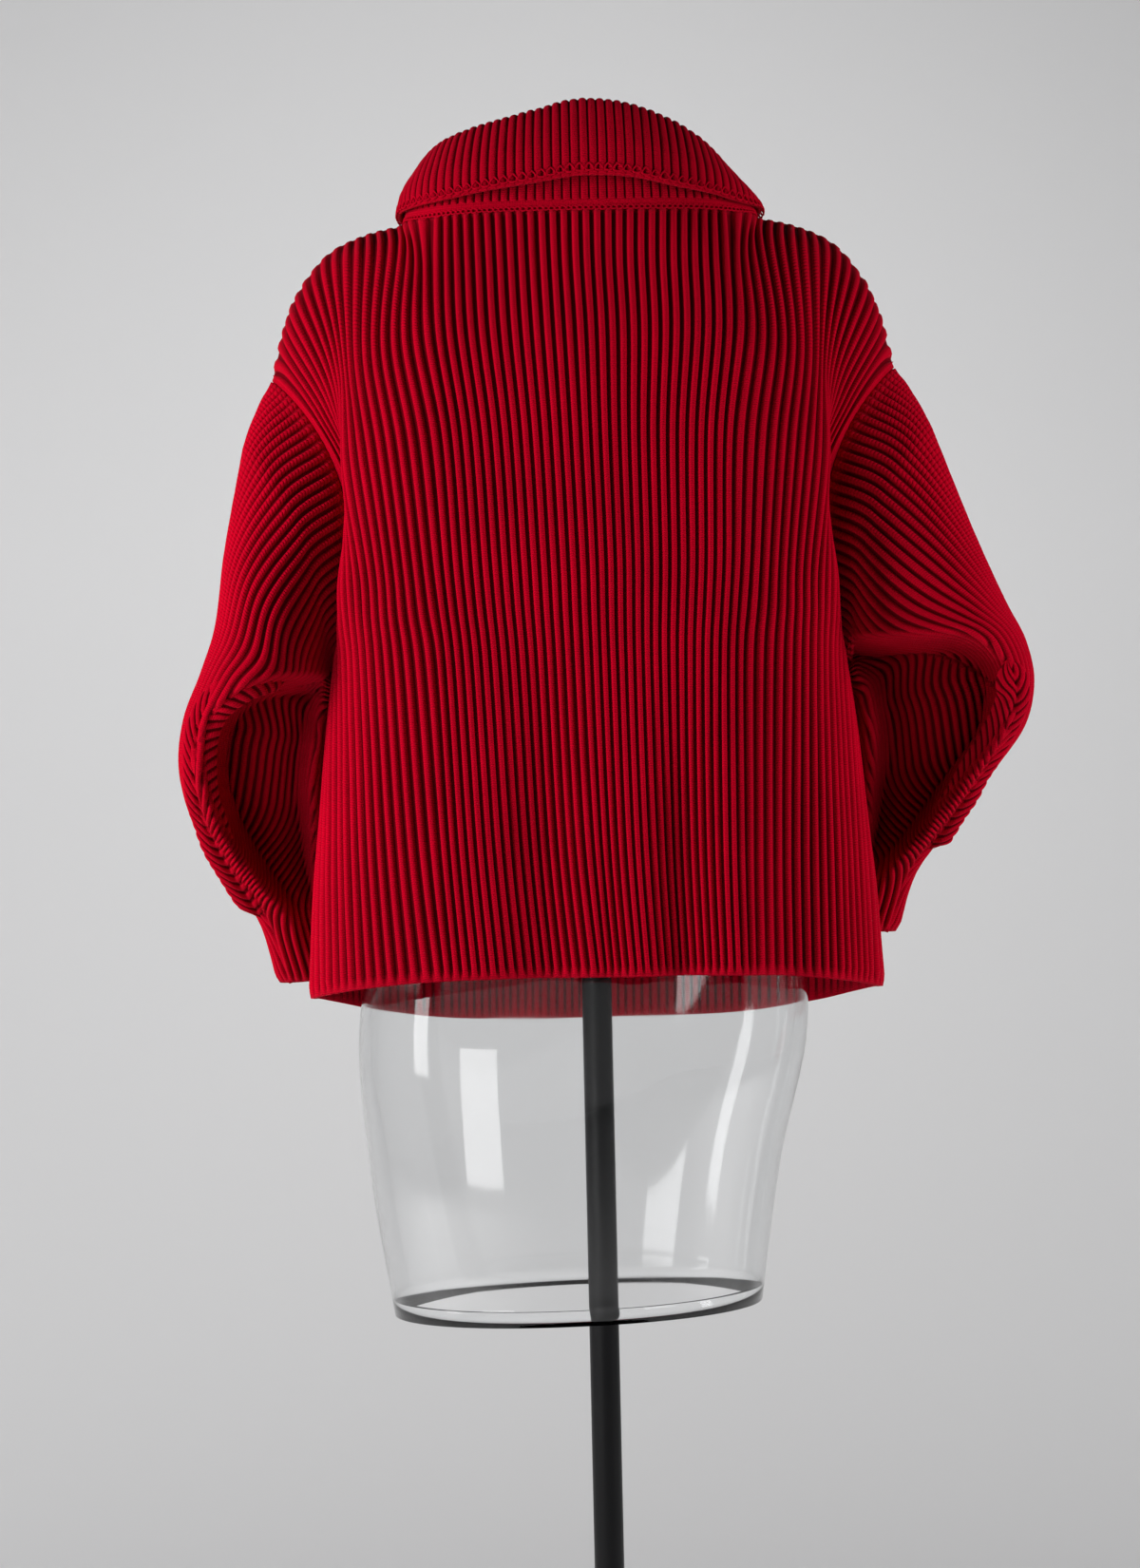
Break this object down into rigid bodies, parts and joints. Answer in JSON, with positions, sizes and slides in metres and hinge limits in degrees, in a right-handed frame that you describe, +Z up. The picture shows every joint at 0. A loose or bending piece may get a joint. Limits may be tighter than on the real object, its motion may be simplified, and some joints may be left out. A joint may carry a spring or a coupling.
{
  "type": "wool sweater on a clear dress form stand",
  "caption": "Chunky ribbed wool sweater with a fold-over collar and wide dropped sleeves, worn by a clear limbless dress form on a pole stand.",
  "frame": {"origin": "on the floor, at the centre of the stand's base under the pole", "axes": "+Z up along the pole; the garment's back faces -Y and its front +Y; the wearer's left is -X"},
  "size_m": [0.723, 0.35, 1.5044],
  "materials": {
    "wool_rib": "matte ribbed wool knit",
    "wool_band": "matte fine wool knit",
    "clear_plastic": "clear glossy acrylic",
    "black_steel": "satin black"
  },
  "bodies": {
    "root": {"back": "wool_rib", "front": "wool_rib", "sleeve_left": "wool_rib", "sleeve_right": "wool_rib", "collar": "wool_rib", "neckband": "wool_band", "dress_form": "clear_plastic", "form_holder": "black_steel", "pole": "black_steel", "base": "black_steel"}
  },
  "joints": []
}
